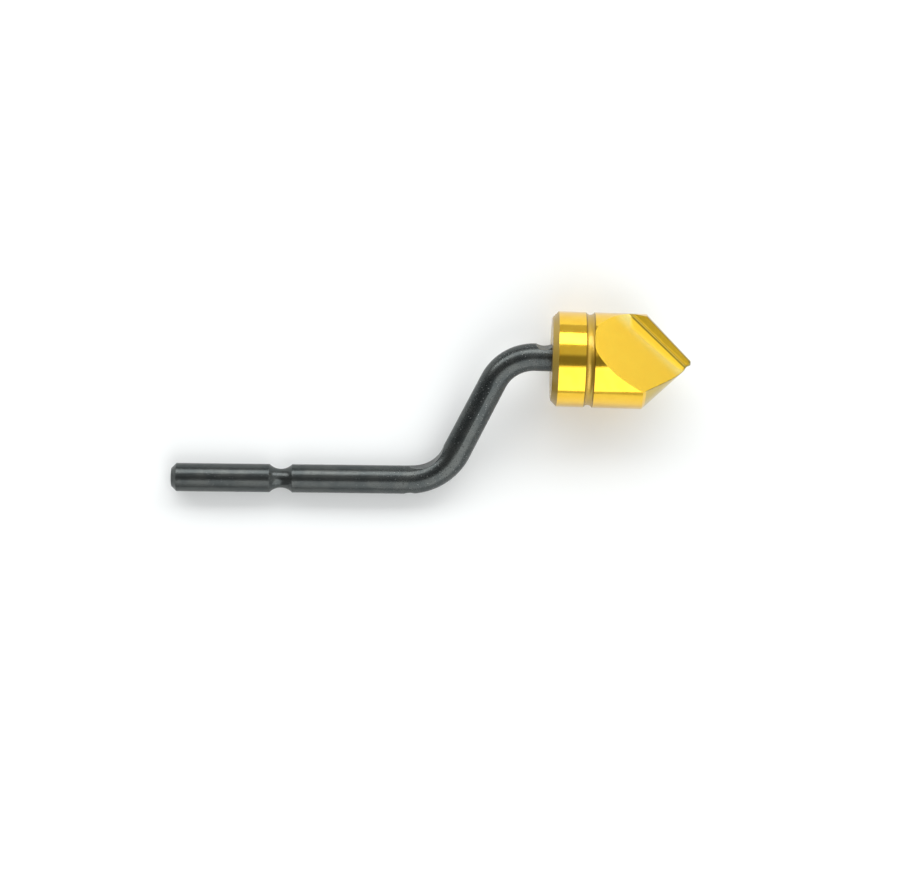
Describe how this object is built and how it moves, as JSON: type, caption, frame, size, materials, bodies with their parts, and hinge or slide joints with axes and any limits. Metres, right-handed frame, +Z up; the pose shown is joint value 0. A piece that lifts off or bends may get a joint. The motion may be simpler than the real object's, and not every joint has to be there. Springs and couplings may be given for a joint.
{
  "type": "crank-shank countersink bit",
  "caption": "Countersink deburring bit: a short 90 degree head with one ground flute, bonded on a bent wire shank with a detent groove for a swivel handle.",
  "frame": {"origin": "on the shank's axis, in the middle of the detent groove that locates the bit in its handle", "axes": "+X along the shank towards the cutting tip, +Z up from the floor that the bit rests on, +Y from the shank towards the head"},
  "size_m": [0.0568, 0.0202, 0.0105],
  "materials": {
    "black_oxide_steel": "black oxide, satin, finely pitted",
    "gold_nitride_steel": "gold nitride coating on turned and ground steel, bright"
  },
  "bodies": {
    "root": {"crank_shank": "black_oxide_steel", "countersink_head": "gold_nitride_steel"}
  },
  "joints": []
}
